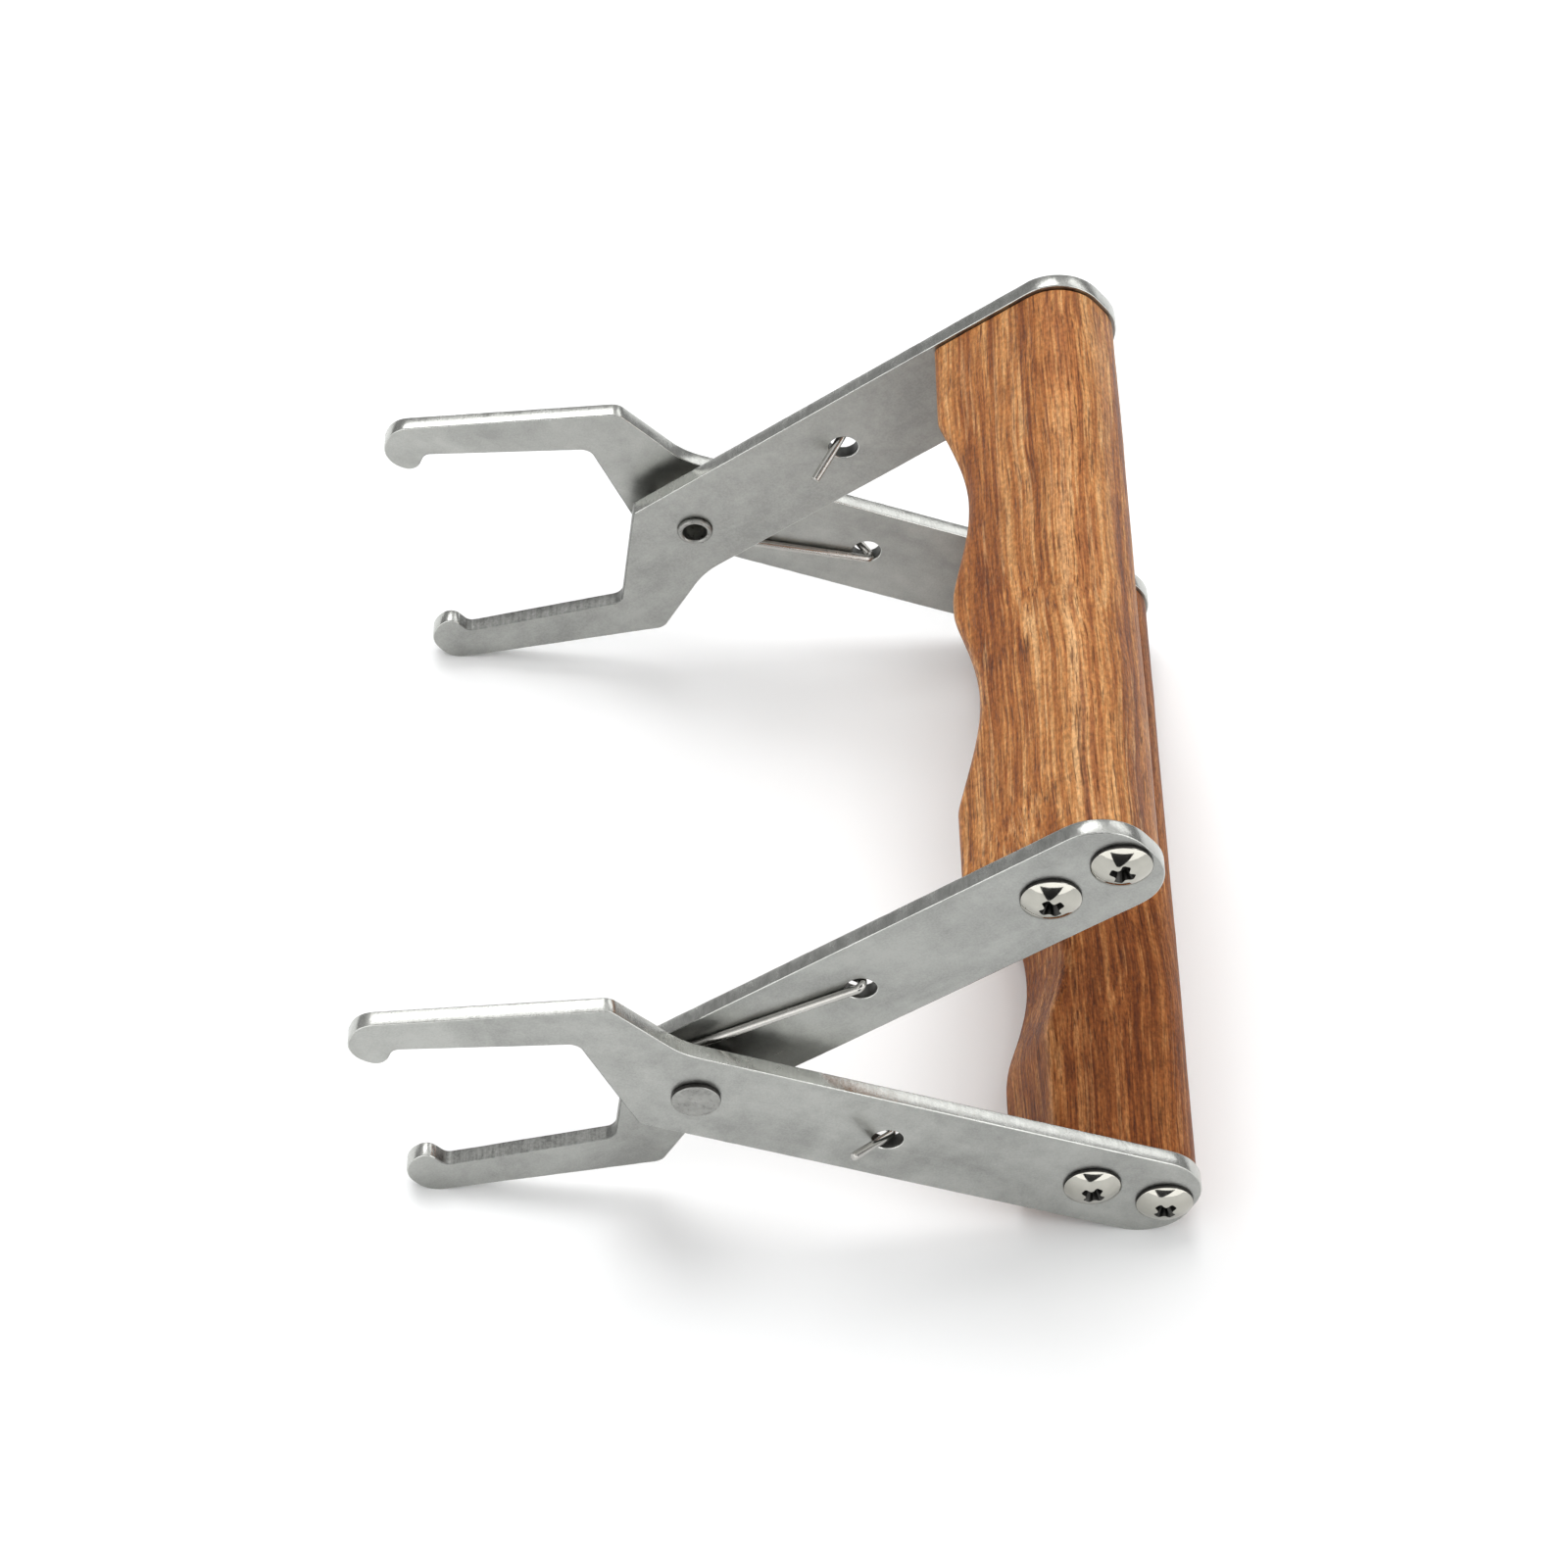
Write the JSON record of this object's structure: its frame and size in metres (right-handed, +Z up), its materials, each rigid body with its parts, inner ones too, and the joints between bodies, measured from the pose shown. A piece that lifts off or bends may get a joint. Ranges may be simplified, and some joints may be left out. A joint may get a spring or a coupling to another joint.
{
  "type": "beehive frame grip",
  "caption": "Spring-open hand grip with two wooden handles and two pairs of hooked flat steel jaws, for lifting a hive frame by its top bar.",
  "frame": {"origin": "on the ground under the middle of the open tool's bounding box", "axes": "+X from the jaws to the handles, +Y along the pivot axis, +Z up with the grip standing on its lower jaw tips and lower handle ends"},
  "size_m": [0.1538, 0.1572, 0.1077],
  "materials": {
    "handle_wood": "oiled reddish-tan hardwood with straight grain along the handle, satin",
    "plate_steel": "tumbled stainless sheet, fine satin grain, brighter cut edges",
    "rivet_steel": "satin steel, slightly domed head",
    "spring_steel": "bright drawn wire",
    "screw_steel": "polished nickel-plated oval head with cross recess"
  },
  "bodies": {
    "lower_arm": {"lower_handle": "handle_wood", "outer_plate_near": "plate_steel", "outer_plate_far": "plate_steel", "pivot_rivet_near": "rivet_steel", "pivot_rivet_far": "rivet_steel", "pivot_bush_near": "rivet_steel", "pivot_bush_far": "rivet_steel", "torsion_spring_near": "spring_steel", "torsion_spring_far": "spring_steel", "lower_handle_screw_near_1": "screw_steel", "lower_handle_screw_near_2": "screw_steel", "lower_handle_screw_far_1": "screw_steel", "lower_handle_screw_far_2": "screw_steel"},
    "upper_arm": {"upper_handle": "handle_wood", "inner_plate_near": "plate_steel", "inner_plate_far": "plate_steel", "upper_handle_screw_near_1": "screw_steel", "upper_handle_screw_near_2": "screw_steel", "upper_handle_screw_far_1": "screw_steel", "upper_handle_screw_far_2": "screw_steel"}
  },
  "joints": [
    {"name": "squeeze", "type": "hinge", "parent": "lower_arm", "child": "upper_arm", "pos_m": [-0.01614, 0, 0.03938], "axis": [0, 1, 0], "range_deg": [0, 38], "stiffness_Nm_per_rad": 1.7, "springref_deg": -20.05, "deforming": ["torsion_spring_near", "torsion_spring_far"]}
  ]
}
